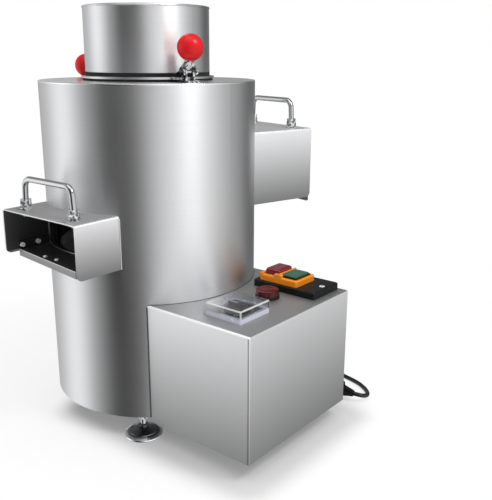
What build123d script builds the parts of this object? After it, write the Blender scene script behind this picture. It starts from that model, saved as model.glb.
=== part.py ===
# Chestnut peeling machine: an upright steel drum with a hopper on top, two open chutes with handles,
# a control box at the side, a motor under the chamber floor and a mains lead behind.
# Sizes are in millimetres. Every piece is drawn round the drum's axis with the floor at height zero, and
# is then moved so that the origin lies under the middle of the machine.
from build123d import *
from math import atan2, cos, degrees, pi, radians, sin, sqrt, tan
import os

# General fits
overrun = 10.0              # how far a cutting tool runs past the face that it cuts
weld_gap = 0.1              # between a sheet's edge and the drum that it is welded to
seat_gap = 0.2              # round a piece that drops into its place
running_gap = 0.05          # radial gap of a shaft or pin in its bore

# Drum
ground_clearance = 32.0
drum_radius = 150.0
drum_wall = 1.5
drum_height = 444.0
wire_hole_radius = 9.0
wire_hole_height = 120.0

# Base plate and chamber floor
plate_thickness = 2.5
base_rim_height = 14.0
vent_count = 12
vent_width = 6.0
vent_length = 30.0
vent_circle_radius = 85.0
chamber_floor_height = 232.0
chamber_floor_thickness = 3.0

# Top cover, hopper collar and their rings
cover_thickness = 2.0
cover_lip_height = 12.0
throat_radius = 80.0
neck_wall = 2.0
neck_height = 9.0
gasket_thickness = 3.0
gasket_outer_radius = 90.0
flange_thickness = 2.5
flange_radius = 92.0
collar_radius = 86.0
collar_wall = 1.5
collar_height = 85.4
collar_neck_height = 5.7
seal_height = 4.7
collar_bead_radius = 1.6

# Hold-down clamps
clamp_angles = (-17.0, 177.0)
pin_circle_radius = 114.0
pin_rise = 7.5
pin_radius = 2.5
clamp_base_length = 26.0
clamp_base_width = 24.0
clamp_base_thickness = 2.5
cheek_gap = 8.0
cheek_thickness = 3.0
lever_side_gap = 0.3
leg_thickness = 3.0
leg_depth = 7.0
eye_radius = 6.5
cheek_radius = 4.5
toe_length = 18.0
toe_gap = 0.3
toe_height = 3.5
lever_length = 30.4
lever_neck_radius = 4.0
lever_neck_length = 5.0
knob_stud_radius = 3.0
knob_stud_length = 9.0
knob_radius = 17.0
knob_flat_radius = 6.0
closed_lean = 11.3
open_travel = 70.0
ear_width = 28.0
ear_reach = 104.0

# Chutes, each a folded hood over a floor plate
sheet = 1.5
bend_radius = 3.5
chute_width = 150.0
chute_corner_radius = 8.0
flange_height = 12.0
lip_height = 9.5
hem_depth = 4.0
lower_chute_angle = -90.0
lower_chute_length = 50.0
lower_chute_rise = 83.0     # from the chamber floor to the hood's top
lower_chute_depth = 61.0
lower_side_drop = 10.0      # how much deeper the side panel on the control box's side is
lower_front_setback = 18.5  # of the floor's front edge at its other end
lower_slot_places = ((-58.0, 13.0), (49.0, 5.0))
slot_length = 8.0
slot_width = 2.0
upper_chute_angle = 75.0
upper_chute_length = 91.0
upper_chute_rise = 171.0
upper_chute_depth = 108.0
floor_rise = 1.5            # from a hood's lower edge to its floor plate's underside
stud_nut_radius = 3.2
stud_nut_height = 3.0
stud_spacing = 25.0
floor_screw_radius = 2.6
floor_screw_height = 1.8
floor_screw_inset = 17.0
floor_screw_side = 12.0

# Handles
handle_spacing = 100.0
handle_inset = 20.0
handle_rod_radius = 4.0
handle_rise = 41.0
handle_bend_radius = 12.0
handle_lean = 2.0
handle_nut_flats = 13.0
handle_nut_height = 6.0
handle_washer_radius = 8.0
handle_washer_height = 1.5
handle_end = 8.0            # threaded end below the hood's top plate

# Peeling chamber
liner_thickness = 5.0
liner_rib_radius = 4.0
liner_rib_count = 20
disc_side_gap = 4.3         # from the disc's edge to the liner's ribs
disc_thickness = 4.0
disc_gap = 8.0              # from the chamber floor to the disc's underside
disc_rim_height = 8.0
disc_rim_width = 4.0
vane_count = 6
vane_height = 16.0
vane_thickness = 8.0
vane_bend_share = 2 / 3     # of the disc's radius
vane_sweep = 62.0
hub_radius = 20.0
hub_drop = 3.0
disc_nut_flats = 19.0
disc_nut_height = 8.0
disc_nut_dome_radius = 8.0
seal_outer_radius = 26.0
seal_hole_radius = 20.0
seal_lip_height = 2.5

# Motor
motor_flange_radius = 80.0
motor_flange_height = 12.0
motor_bolt_circle_radius = 66.0
motor_bolt_count = 4
motor_bolt_radius = 4.0
motor_bolt_flats = 13.0
motor_bolt_head_height = 5.3
motor_headroom = 35.5       # from the base plate to the fan cover
motor_housing_radius = 70.0
motor_housing_wall = 6.0
fin_count = 24
fin_depth = 6.0
fin_thickness = 2.5
bottom_shield_height = 10.0
bottom_shield_radius = 74.3
stator_end_gap = 7.0
stator_bore = 38.5
winding_height = 13.0
winding_radius = 59.0
winding_bore = 42.0
rotor_gap = 0.5
shaft_radius = 8.0
journal_radius = 7.5
thread_radius = 5.0
thread_length = 13.0
bearing_radius = 17.5
bearing_width = 10.0
fan_radius = 58.0
fan_hub_radius = 14.0
fan_blade_count = 6
fan_blade_height = 14.0
fan_blade_thickness = 2.5
fan_plate = 2.0
fan_gap = 4.0
cowl_wall = 1.5
cowl_height = 35.0
cowl_lap = 8.0
cowl_slot_count = 8
cowl_slot_width = 5.0
cowl_slot_length = 26.0

# Control box
box_length = 122.0          # from the drum's nearest point to the box's far face
box_half_depth = 111.5
box_height = 169.0
box_clearance = 26.3
box_bend_radius = 2.5
box_return = 12.0
box_screw_radius = 2.0
box_screw_head_radius = 3.8
box_screw_head_height = 2.2

# Timer, on the box's top
timer_inset = 62.5          # from the box's far face to the timer's middle
timer_side_inset = 54.0
timer_size = 59.0
timer_frame_height = 6.0
timer_frame_wall = 5.0
timer_lid_height = 10.5
timer_lid_wall = 2.0
timer_lid_gap = 0.3
timer_body_size = 44.0
timer_body_depth = 40.0
timer_face_height = 4.0
timer_knob_radius = 16.0
timer_knob_disc = 2.5
timer_grip_height = 6.0
timer_grip_width = 7.0
timer_post_radius = 3.0
timer_post_length = 6.0
hinge_rod_radius = 1.5
hinge_knuckle_radius = 3.0
hinge_lug_length = 5.0
hinge_offset = 3.2
lid_knuckle_length = 8.0

# Lamp
lamp_inset = 69.5
lamp_offset_share = 0.19    # of the free room beside it, from the middle towards the switch
lamp_ring_radius = 16.5
lamp_ring_height = 4.5
lamp_ring_chamfer = 0.4
lamp_lens_radius = 15.5
lamp_lens_height = 11.0
lamp_body_radius = 11.0
lamp_body_depth = 34.0
lamp_recess = 2.0

# Switch
switch_inset = 13.0
switch_drum_gap = 6.0
switch_side_inset = 37.0
switch_width = 62.0
switch_base_height = 10.0
switch_corner_radius = 3.0
housing_offset = 11.7       # of the orange housing from the base's middle, towards the drum
housing_side_offset = 4.5
housing_length = 63.5
housing_width = 46.0
housing_height = 8.5
housing_floor = 2.0
housing_corner_radius = 3.0
stop_offset = 14.3
stop_length = 24.0
start_offset = 14.2
start_length = 25.0
button_width = 33.0
button_gap = 0.4
button_corner_radius = 3.0
button_travel = 3.0
stop_rise = 8.5             # dome of the stop button above its housing
stop_dome_radius = 5.0
start_rise = 4.0
start_crown = 1.2
stem_radius = 3.0
contact_length = 50.0
contact_width = 30.0
contact_depth = 40.0
contact_gap = 0.6

# Capacitor
capacitor_inset = 42.0
capacitor_side_inset = 49.5
capacitor_radius = 17.5
capacitor_height = 70.0

# Levelling feet
foot_angles = (-53.0, 53.0, 180.0)
foot_inset = 14.0           # from the drum's outside to a foot's middle
foot_radius = 26.5
foot_rim_height = 3.0
foot_step_radius = 20.0
foot_step_height = 6.0
foot_dome_radius = 10.0
foot_dome_height = 11.0
foot_collar_radius = 7.0
foot_collar_height = 15.0
foot_socket_floor = 4.0
stem_thread_radius = 4.0
foot_nut_flats = 13.0
foot_nut_height = 6.5
foot_stem_top = 46.0

# Mains lead
cord_radius = 3.25
floor_skip = 0.15           # between the cord and the surface that it lies on
gland_inset = 67.0
gland_z = 42.0
gland_thread_radius = 8.0
gland_hex_flats = 21.0
gland_hex_height = 6.0
gland_nut_height = 5.0
gland_nose_radius = 4.8
gland_length = 28.0
gland_bore_radius = 2.6
coil_x = 90.0
coil_y = 186.0
coil_outer_radius = 43.0
coil_pitch = 8.0
coil_layer_rise = 7.3
coil_start_angle = -40.0
spans_in = 10               # quarter turns inwards on the floor, and as many outwards on top
spans_climbing = 2          # quarter turns that climb from the lower layer to the upper one
lead_last_run = 19.5
lead_points = [(205.0, 158.0, 42.0), (196.5, 175.5, 38.0), (179.5, 186.0, 26.5), (159.1, 187.5, 12.0)]
tail_points = [
    (94.5, 241.1, 7.0), (120.4, 239.3, 3.6), (149.8, 233.0, 3.4), (180.8, 225.3, 3.4), (212.0, 219.5, 3.4),
    (240.0, 212.5, 3.4), (256.0, 199.0, 3.4), (265.0, 183.0, 4.0), (277.5, 171.5, 7.5), (273.0, 160.0, 12.5)]
plug_tip_x = 261.0
plug_y = 160.0
plug_width = 27.0
plug_height = 25.0
plug_length = 38.0
plug_corner_radius = 6.0
plug_taper_length = 20.0
plug_taper_radius = 9.0
plug_nose_radius = 4.6
blade_width = 6.4
blade_thickness = 1.5
blade_length = 16.0
blade_spacing = 12.7
earth_pin_radius = 2.4
earth_pin_length = 18.0
earth_pin_drop = 5.5
blade_rise = 5.0

# Heights that several pieces share
drum_top = ground_clearance + drum_height
cover_top = drum_top + cover_thickness
gasket_top = cover_top + gasket_thickness
flange_top = gasket_top + flange_thickness
collar_foot = flange_top + collar_neck_height
collar_top = collar_foot + collar_height
plate_radius = drum_radius - drum_wall - seat_gap
base_top = ground_clearance + plate_thickness
floor_underside = chamber_floor_height - chamber_floor_thickness
liner_inner_radius = plate_radius - liner_thickness
disc_radius = liner_inner_radius - liner_rib_radius - disc_side_gap
vane_bend_radius = disc_radius * vane_bend_share
disc_low = chamber_floor_height + disc_gap
disc_high = disc_low + disc_thickness
motor_top = floor_underside - motor_flange_height
shield_low = base_top + motor_headroom + cowl_height - cowl_lap
motor_low = shield_low + bottom_shield_height
motor_length = motor_top - motor_low
stator_length = motor_length - 2 * (winding_height + stator_end_gap)
lower_chute_reach = drum_radius + lower_chute_length
lower_chute_top = chamber_floor_height + lower_chute_rise
upper_chute_reach = drum_radius + upper_chute_length
upper_chute_top = chamber_floor_height + upper_chute_rise
foot_circle_radius = drum_radius - foot_inset
box_reach = drum_radius + box_length
timer_x = box_reach - timer_inset
timer_y = timer_side_inset - box_half_depth
lamp_x = box_reach - lamp_inset
timer_edge = timer_y + timer_size / 2
switch_length = box_length - switch_inset - switch_drum_gap
switch_x = box_reach - switch_inset - switch_length / 2
switch_y = box_half_depth - switch_side_inset
switch_edge = switch_y - switch_width / 2
lamp_y = (timer_edge + switch_edge) / 2 + lamp_offset_share * (switch_edge - timer_edge - 2 * lamp_ring_radius)
housing_x = switch_x - housing_offset
housing_y = switch_y - housing_side_offset
stop_x = housing_x - stop_offset
start_x = housing_x + start_offset
capacitor_x = box_reach - capacitor_inset
capacitor_y = box_half_depth - capacitor_side_inset
gland_x = box_reach - gland_inset
box_top = box_clearance + box_height
pin_height = flange_top + pin_rise
cord_rest = cord_radius + floor_skip

# The origin lies under the middle of the machine, without the lead
left_ball_centre = pin_circle_radius + lever_length * sin(radians(closed_lean + open_travel))
left_reach = left_ball_centre * abs(cos(radians(clamp_angles[1]))) + knob_radius
back_reach = (upper_chute_reach * sin(radians(upper_chute_angle))
              + chute_width / 2 * cos(radians(upper_chute_angle)))
centre_x = (box_reach - left_reach) / 2
centre_y = (back_reach - lower_chute_reach) / 2

pieces = {}


def add(name, *solids):
    """Keep the solids of one node."""
    pieces[name] = [solid for shape in solids for solid in shape.solids()]


def disc(radius, low, high):
    return Pos(0, 0, low) * extrude(Circle(radius), high - low)


def ring(outer, inner, low, high):
    return Pos(0, 0, low) * extrude(Circle(outer) - Circle(inner), high - low)


def slab(x_span, y_span, z_span):
    """A block between two limits along each axis."""
    lengths = [span[1] - span[0] for span in (x_span, y_span, z_span)]
    middle = [(span[0] + span[1]) / 2 for span in (x_span, y_span, z_span)]
    return Pos(*middle) * Box(*lengths)


def hex_prism(flats, low, high):
    return Pos(0, 0, low) * extrude(RegularPolygon(flats / 2, 6, major_radius=False), high - low)


def hex_nut(flats, bore, low, high):
    return hex_prism(flats, low, high) - disc(bore, low - overrun, high + overrun)


def turned(points):
    """A solid of revolution round Z from (radius, height) points."""
    outline = Polyline(*[(r, 0, z) for r, z in points], close=True)
    return revolve(make_face(outline), Axis.Z)


def polar(count, radius):
    """Places evenly round the axis, each turned to face outwards."""
    return [Rot(0, 0, 360 * k / count) * Pos(radius, 0, 0) for k in range(count)]


def drum_pieces():
    shell = ring(drum_radius, drum_radius - drum_wall, ground_clearance, drum_top)
    for window in chute_windows(seat_gap):
        shell -= window
    hole = Pos(drum_radius, 0, wire_hole_height) * Rot(0, 90, 0) * Cylinder(wire_hole_radius, 2 * overrun)
    add("drum_shell", shell - hole)

    plate = disc(plate_radius, ground_clearance, base_top)
    plate += ring(plate_radius, plate_radius - plate_thickness, ground_clearance,
                  ground_clearance + base_rim_height)
    slot = Pos(0, 0, base_top) * extrude(SlotOverall(vent_length, vent_width), overrun, both=True)
    for place in polar(vent_count, vent_circle_radius):
        plate -= place * slot
    for angle in foot_angles:
        hole = disc(stem_thread_radius + running_gap, ground_clearance - overrun, base_top + overrun)
        plate -= Rot(0, 0, angle) * Pos(foot_circle_radius, 0, 0) * hole
    add("base_plate", plate)

    deck = disc(plate_radius, floor_underside, chamber_floor_height)
    deck -= disc(seal_hole_radius, floor_underside - overrun, chamber_floor_height + overrun)
    for place in polar(motor_bolt_count, motor_bolt_circle_radius):
        deck -= place * disc(motor_bolt_radius + running_gap, floor_underside - overrun,
                             chamber_floor_height + overrun)
    add("chamber_floor", deck)
    bolt = disc(motor_bolt_radius, motor_top + sheet, chamber_floor_height)
    bolt += hex_prism(motor_bolt_flats, chamber_floor_height, chamber_floor_height + motor_bolt_head_height)
    add("floor_bolts", *[place * bolt for place in polar(motor_bolt_count, motor_bolt_circle_radius)])


def chute_frame(angle):
    """Turns a chute that was drawn pointing along -Y to point along the given angle."""
    return Rot(0, 0, angle + 90)


def chute_windows(margin):
    """The openings through the drum's wall, one for each chute."""
    windows = []
    half = chute_width / 2 - sheet - 2 * seat_gap + margin
    for angle, top, depth in ((lower_chute_angle, lower_chute_top, lower_chute_depth),
                              (upper_chute_angle, upper_chute_top, upper_chute_depth)):
        low = top - depth + floor_rise + sheet
        block = slab((-half, half), (-drum_radius - overrun, -drum_radius / 2),
                     (low - margin, top - sheet + margin))
        windows.append(chute_frame(angle) * block)
    return windows


def chute_hood(reach, top, depth, drop, slots):
    """Top plate and two side panels, folded from one sheet and cut to the drum's curve."""
    half = chute_width / 2
    low = top - depth
    body = None
    for span, bottom in (((-half, 0), low), ((0, half), low - drop)):
        side = slab(span, (-reach, 0), (bottom, top))
        front_edges = [e for e in side.edges().filter_by(Axis.X)
                       if e.center().Y < -reach / 2 and e.center().Z < low + depth / 2]
        side = fillet(front_edges, chute_corner_radius)
        body = side if body is None else body + side
    top_edges = [e for e in body.edges().filter_by(Axis.Y) if e.center().Z > low + depth / 2]
    body = fillet([e for e in top_edges if abs(e.center().X) > half / 2], bend_radius)
    inside = slab((sheet - half, half - sheet), (-reach - overrun, overrun),
                  (low - drop - overrun, top - sheet))
    top_edges = [e for e in inside.edges().filter_by(Axis.Y) if e.center().Z > low]
    inside = fillet(top_edges, bend_radius - sheet)
    hood = body - inside - disc(drum_radius + weld_gap, low - drop - overrun, top + overrun)
    for x, inset in slots:
        slot = Pos(x, inset - reach, top) * extrude(SlotOverall(slot_length, slot_width), overrun, both=True)
        hood -= slot
    for side in (-1, 1):
        hole = disc(handle_rod_radius + running_gap, top - overrun, top + overrun)
        hood -= Pos(side * handle_spacing / 2, handle_inset - reach, 0) * hole
    return hood


def chute_floor(reach, top, depth, setback):
    """Floor plate with upright side flanges, and a front lip folded down and hemmed back."""
    low = top - depth + floor_rise
    high = low + sheet
    half = chute_width / 2 - sheet - seat_gap
    outline = Polyline((half, sheet - reach), (half, 0), (-half, 0), (-half, setback + sheet - reach),
                       close=True)
    plate = Pos(0, 0, low) * extrude(make_face(outline), sheet)
    for side, inset in ((-1, setback), (1, 0)):
        span = sorted((side * half, side * (half - sheet)))
        front = flange_front(inset)
        plate += slab(span, (front - reach, 0), (low, low + flange_height))
    lip_low = high - lip_height
    width = 2 * half
    length = sqrt(width ** 2 + setback ** 2)
    span = (sheet, length - sheet)
    lip = slab(span, (0, sheet), (lip_low, high)) + slab(span, (0, hem_depth), (lip_low, lip_low + sheet))
    lip_edges = [e for e in lip.edges().filter_by(Axis.X) if e.center().Y < sheet / 2]
    lip = fillet(lip_edges, sheet / 2)
    plate += Pos(-half, setback - reach, 0) * Rot(0, 0, -degrees(atan2(setback, width))) * lip
    return plate - disc(drum_radius + weld_gap, low - depth, high + depth)


def flange_front(setback):
    """How far behind the hood's front a side flange of the floor starts."""
    return max(chute_corner_radius, setback + sheet)


def chute_pieces():
    nuts = []
    chutes = (
        ("lower", lower_chute_angle, lower_chute_reach, lower_chute_top, lower_chute_depth, lower_side_drop,
         lower_front_setback, lower_slot_places),
        ("upper", upper_chute_angle, upper_chute_reach, upper_chute_top, upper_chute_depth, 0, 0, ()))
    for name, angle, reach, top, depth, drop, setback, slots in chutes:
        frame = chute_frame(angle)
        add(name + "_chute_hood", frame * chute_hood(reach, top, depth, drop, slots))
        add(name + "_chute_floor", frame * chute_floor(reach, top, depth, setback))
        height = top - depth + floor_rise + flange_height / 2 + sheet / 2
        inner_face = chute_width / 2 - 2 * sheet - seat_gap
        for side, inset in ((-1, setback), (1, 0)):
            first = flange_front(inset) + stud_nut_radius - reach
            for y in (first, first + stud_spacing):
                nut = Rot(0, -90 * side, 0) * extrude(Circle(stud_nut_radius), stud_nut_height)
                nuts.append(frame * Pos(side * inner_face, y, height) * nut)
        plate_top = top - depth + floor_rise + sheet
        for side in (-1, 1):
            screw = disc(floor_screw_radius, plate_top, plate_top + floor_screw_height)
            crown = screw.faces().sort_by(Axis.Z)[-1].edges()
            screw = fillet(crown, floor_screw_height / 2)
            nuts.append(frame * Pos(side * floor_screw_side, floor_screw_inset - reach, 0) * screw)
    add("chute_nuts", *nuts)


def handle_pieces():
    nuts = []
    for name, angle, reach, top in (("lower", lower_chute_angle, lower_chute_reach, lower_chute_top),
                                    ("upper", upper_chute_angle, upper_chute_reach, upper_chute_top)):
        frame = chute_frame(angle)
        half = handle_spacing / 2
        y = handle_inset - reach
        foot = top - sheet - handle_end
        nut_top = top + handle_washer_height + 2 * handle_nut_height
        bar_height = top + handle_rise
        route = FilletPolyline(
            (-half, y, foot), (-half, y, nut_top), (handle_lean - half, y, bar_height),
            (half - handle_lean, y, bar_height), (half, y, nut_top), (half, y, foot),
            radius=[handle_rise, handle_bend_radius, handle_bend_radius, handle_rise])
        section = Plane(origin=route @ 0, z_dir=route % 0) * Circle(handle_rod_radius)
        add(name + "_handle", frame * sweep(section, path=route))
        for side in (-1, 1):
            place = frame * Pos(side * half, y, top)
            bore = handle_rod_radius + running_gap
            washer = handle_washer_height
            nuts.append(place * ring(handle_washer_radius, bore, 0, washer))
            nuts.append(place * hex_nut(handle_nut_flats, bore, washer, washer + handle_nut_height))
            upper = Rot(0, 0, 15) * hex_nut(handle_nut_flats, bore, washer + handle_nut_height,
                                            washer + 2 * handle_nut_height)
            nuts.append(place * upper)
            nuts.append(place * hex_nut(handle_nut_flats, bore, -sheet - handle_nut_height, -sheet))
    add("handle_nuts", *nuts)


def hopper_pieces():
    cover = disc(drum_radius, drum_top, cover_top)
    cover += ring(plate_radius, plate_radius - cover_thickness, drum_top - cover_lip_height, drum_top)
    cover += disc(throat_radius + neck_wall, drum_top, cover_top + neck_height)
    cover -= disc(throat_radius, drum_top - overrun, collar_top)
    rim_edges = [e for e in cover.edges().filter_by(GeomType.CIRCLE)
                 if abs(e.radius - drum_radius) < weld_gap and e.center().Z > drum_top + cover_thickness / 2]
    add("top_cover", fillet(rim_edges, cover_thickness / 2))

    neck_outer = throat_radius + neck_wall
    add("hopper_gasket", ring(gasket_outer_radius, neck_outer + seat_gap, cover_top, gasket_top))

    inner = collar_radius - collar_wall
    collar_inner = neck_outer + seat_gap
    flange = disc(flange_radius, gasket_top, flange_top)
    for angle in clamp_angles:
        ear = slab((0, ear_reach), (-ear_width / 2, ear_width / 2), (gasket_top, flange_top))
        corners = [e for e in ear.edges().filter_by(Axis.Z) if e.center().X > ear_reach / 2]
        flange += Rot(0, 0, angle) * fillet(corners, ear_width / 4)
    flange -= disc(collar_inner, gasket_top - overrun, flange_top + overrun)
    wall = turned([(collar_inner, flange_top), (inner, flange_top), (inner, collar_foot),
                   (collar_radius, collar_foot), (collar_radius, collar_top), (inner, collar_top),
                   (inner, collar_foot + collar_wall), (collar_inner, collar_foot + collar_wall)])
    bead = Torus(collar_radius - collar_wall / 2, collar_bead_radius)
    bead = Pos(0, 0, collar_top - collar_bead_radius) * bead
    add("hopper_collar", flange + wall + bead)
    low = flange_top + (collar_neck_height - seal_height) / 2
    add("hopper_seal", ring(collar_radius, inner + running_gap, low, low + seal_height))


def clamp_lever_solid():
    """Forked lever in its closed pose, its pin on the origin along Y, the hopper towards -X."""
    inner = cheek_gap / 2 + cheek_thickness + lever_side_gap
    outer = inner + leg_thickness
    ball_flat = lever_length - sqrt(knob_radius ** 2 - knob_flat_radius ** 2)
    neck_low = ball_flat - lever_neck_length
    washer_low = ball_flat - leg_thickness / 2
    lever = disc(lever_neck_radius, neck_low, ball_flat) + disc(knob_flat_radius, washer_low, ball_flat)
    lever += disc(knob_stud_radius, ball_flat, ball_flat + knob_stud_length)
    toes = None
    for side in (-1, 1):
        shoulder = cheek_radius + lever_side_gap
        leg = Polyline((0, side * inner, 0), (0, side * outer, 0), (0, side * outer, shoulder),
                       (0, side * lever_neck_radius, washer_low), (0, 0, washer_low), (0, 0, neck_low),
                       (0, side * inner, shoulder), close=True)
        lever += extrude(make_face(leg), leg_depth / 2, dir=(1, 0, 0), both=True)
        span = sorted((side * inner, side * outer))
        eye = Pos(0, span[0], 0) * Rot(-90, 0, 0) * extrude(Circle(eye_radius), leg_thickness)
        toe_low = toe_gap - pin_rise
        outline = Polyline((-toe_length, span[0], toe_low), (-leg_thickness, span[0], toe_low),
                           (0, span[0], 0), (-leg_thickness, span[0], leg_thickness),
                           (-toe_length, span[0], toe_low + toe_height), close=True)
        toe = eye + extrude(make_face(outline), leg_thickness, dir=(0, 1, 0))
        toes = toe if toes is None else toes + toe
    lever = Rot(0, closed_lean, 0) * lever + toes
    return lever - Rot(-90, 0, 0) * disc(pin_radius + running_gap, -outer - overrun, outer + overrun)


def clamp_pieces():
    bases = []
    pins = []
    sides = ("right", "left")
    for name, angle in zip(sides, clamp_angles):
        at_pin = Rot(0, 0, angle) * Pos(pin_circle_radius, 0, pin_height)
        plate_low = cover_top - pin_height
        foot = slab((-clamp_base_length * 2 / 5, clamp_base_length * 3 / 5),
                    (-clamp_base_width / 2, clamp_base_width / 2),
                    (plate_low, plate_low + clamp_base_thickness))
        for side in (-1, 1):
            span = sorted((side * cheek_gap / 2, side * (cheek_gap / 2 + cheek_thickness)))
            foot += slab((-cheek_radius, cheek_radius), span, (plate_low, 0))
            foot += Pos(0, span[0], 0) * Rot(-90, 0, 0) * extrude(Circle(cheek_radius), cheek_thickness)
        foot -= Rot(-90, 0, 0) * disc(pin_radius + running_gap, -clamp_base_width, clamp_base_width)
        bases.append(at_pin * foot)
        reach = cheek_gap / 2 + cheek_thickness + lever_side_gap + leg_thickness + running_gap
        pin = Rot(-90, 0, 0) * disc(pin_radius, -reach, reach)
        pins.append(at_pin * pin)
        turn = Rot(0, open_travel, 0) if name == "left" else Rot(0, 0, 0)
        add(name + "_clamp_lever", at_pin * turn * clamp_lever_solid())
        ball_flat = sqrt(knob_radius ** 2 - knob_flat_radius ** 2)
        ball = Sphere(knob_radius) - disc(knob_radius, -knob_radius - overrun, -ball_flat)
        hole_end = knob_stud_length + running_gap - ball_flat
        ball -= disc(knob_stud_radius + running_gap, -knob_radius - overrun, hole_end)
        ball = Rot(0, closed_lean, 0) * Pos(0, 0, lever_length) * ball
        add(name + "_ball_knob", at_pin * turn * ball)
    add("clamp_bases", *bases)
    add("clamp_pins", *pins)


def chamber_pieces():
    profile = Circle(plate_radius) - Circle(liner_inner_radius)
    for place in polar(liner_rib_count, liner_inner_radius):
        profile += place * Circle(liner_rib_radius)
    liner = Pos(0, 0, chamber_floor_height) * extrude(profile, drum_top - cover_lip_height - seat_gap
                                                      - chamber_floor_height)
    for window in chute_windows(seat_gap):
        liner -= window
    add("peeling_liner", liner)

    plate = disc(disc_radius, disc_low, disc_high)
    plate += ring(disc_radius, disc_radius - disc_rim_width, disc_low, disc_high + disc_rim_height)
    plate += disc(hub_radius, disc_low - hub_drop, disc_high + hub_drop)
    start = disc_nut_flats
    arc = CenterArc((start, vane_bend_radius), vane_bend_radius, -90, vane_sweep)
    vane = extrude(SlotArc(arc, vane_thickness), vane_height)
    for place in polar(vane_count, 0):
        plate += place * Pos(0, 0, disc_low + disc_thickness / 2) * vane
    plate -= disc(journal_radius + running_gap, disc_low - overrun, disc_high + vane_height)
    add("peeling_disc", plate)

    nut_low = disc_high + hub_drop
    nut = hex_prism(disc_nut_flats, nut_low, nut_low + disc_nut_height)
    dome = Pos(0, 0, nut_low + disc_nut_height) * Sphere(disc_nut_dome_radius)
    nut += dome - disc(disc_nut_dome_radius, nut_low - disc_nut_height, nut_low + disc_nut_height)
    nut -= disc(thread_radius + running_gap, nut_low - overrun, nut_low + thread_length)
    add("disc_nut", nut)

    seal_bore = journal_radius + 2 * running_gap
    seal_ring = ring(seal_hole_radius - running_gap, seal_bore, floor_underside, chamber_floor_height)
    seal_top = chamber_floor_height + seal_lip_height
    seal_ring += ring(seal_outer_radius, seal_bore, chamber_floor_height, seal_top)
    add("shaft_seal", seal_ring)


def motor_pieces():
    bearing_seat = bearing_radius + running_gap
    shield = disc(motor_flange_radius, motor_top, floor_underside)
    shield -= disc(bearing_seat, motor_top - overrun, motor_top + bearing_width)
    shield -= disc(shaft_radius + sheet, motor_top - overrun, floor_underside + overrun)
    for place in polar(motor_bolt_count, motor_bolt_circle_radius):
        shield -= place * disc(motor_bolt_radius + running_gap, motor_top + sheet - running_gap,
                               floor_underside + overrun)
    add("motor_top_shield", shield)

    profile = Circle(motor_housing_radius)
    for place in polar(fin_count, motor_housing_radius + fin_depth / 2 - fin_thickness / 2):
        profile += place * Rectangle(fin_depth + fin_thickness, fin_thickness)
    bore = motor_housing_radius - motor_housing_wall
    housing = Pos(0, 0, motor_low) * extrude(profile - Circle(bore), motor_length)
    add("motor_housing", housing)

    shield = disc(bottom_shield_radius, shield_low, motor_low)
    shield -= disc(bearing_seat, shield_low - overrun, motor_low + overrun)
    add("motor_bottom_shield", shield)

    middle = (motor_top + motor_low) / 2
    core_low = middle - stator_length / 2
    core_high = middle + stator_length / 2
    stator = ring(bore - running_gap, stator_bore, core_low, core_high)
    for low, high in ((core_low - winding_height, core_low), (core_high, core_high + winding_height)):
        stator += ring(winding_radius, winding_bore, low, high)
    add("motor_stator", stator)
    rotor_radius = stator_bore - rotor_gap
    rotor_bore = shaft_radius + running_gap
    add("motor_rotor", ring(rotor_radius, rotor_bore, core_low, core_high))

    fan_high = shield_low - fan_gap
    fan_low = fan_high - fan_plate - fan_blade_height
    disc_seat = disc_high + hub_drop
    shaft = disc(journal_radius, fan_low, disc_seat)
    shaft += disc(shaft_radius, motor_low + fan_gap, motor_top - fan_gap)
    shaft += disc(thread_radius, disc_seat, disc_seat + thread_length - running_gap)
    add("motor_shaft", shaft)
    bearing_bore = journal_radius + running_gap
    bearings = [ring(bearing_radius, bearing_bore, low, low + bearing_width)
                for low in (motor_top, shield_low)]
    add("motor_bearings", *bearings)

    fan = disc(fan_radius, fan_high - fan_plate, fan_high) + disc(fan_hub_radius, fan_low, fan_high)
    blade = slab((fan_hub_radius / 2, fan_radius), (-fan_blade_thickness / 2, fan_blade_thickness / 2),
                 (fan_low, fan_high - fan_plate / 2))
    for place in polar(fan_blade_count, 0):
        fan += place * blade
    add("motor_fan", fan - disc(bearing_bore, fan_low - overrun, fan_high + overrun))

    cowl_outer = bottom_shield_radius + seat_gap + cowl_wall
    cowl_high = shield_low + cowl_lap
    cowl = disc(cowl_outer, cowl_high - cowl_height, cowl_high)
    cowl -= disc(cowl_outer - cowl_wall, cowl_high - cowl_height + cowl_wall, cowl_high + overrun)
    slot = Pos(0, 0, cowl_high - cowl_height) * extrude(SlotOverall(cowl_slot_length, cowl_slot_width),
                                                        overrun, both=True)
    for place in polar(cowl_slot_count, cowl_outer / 2):
        cowl -= place * slot
    add("fan_cover", cowl)


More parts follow.
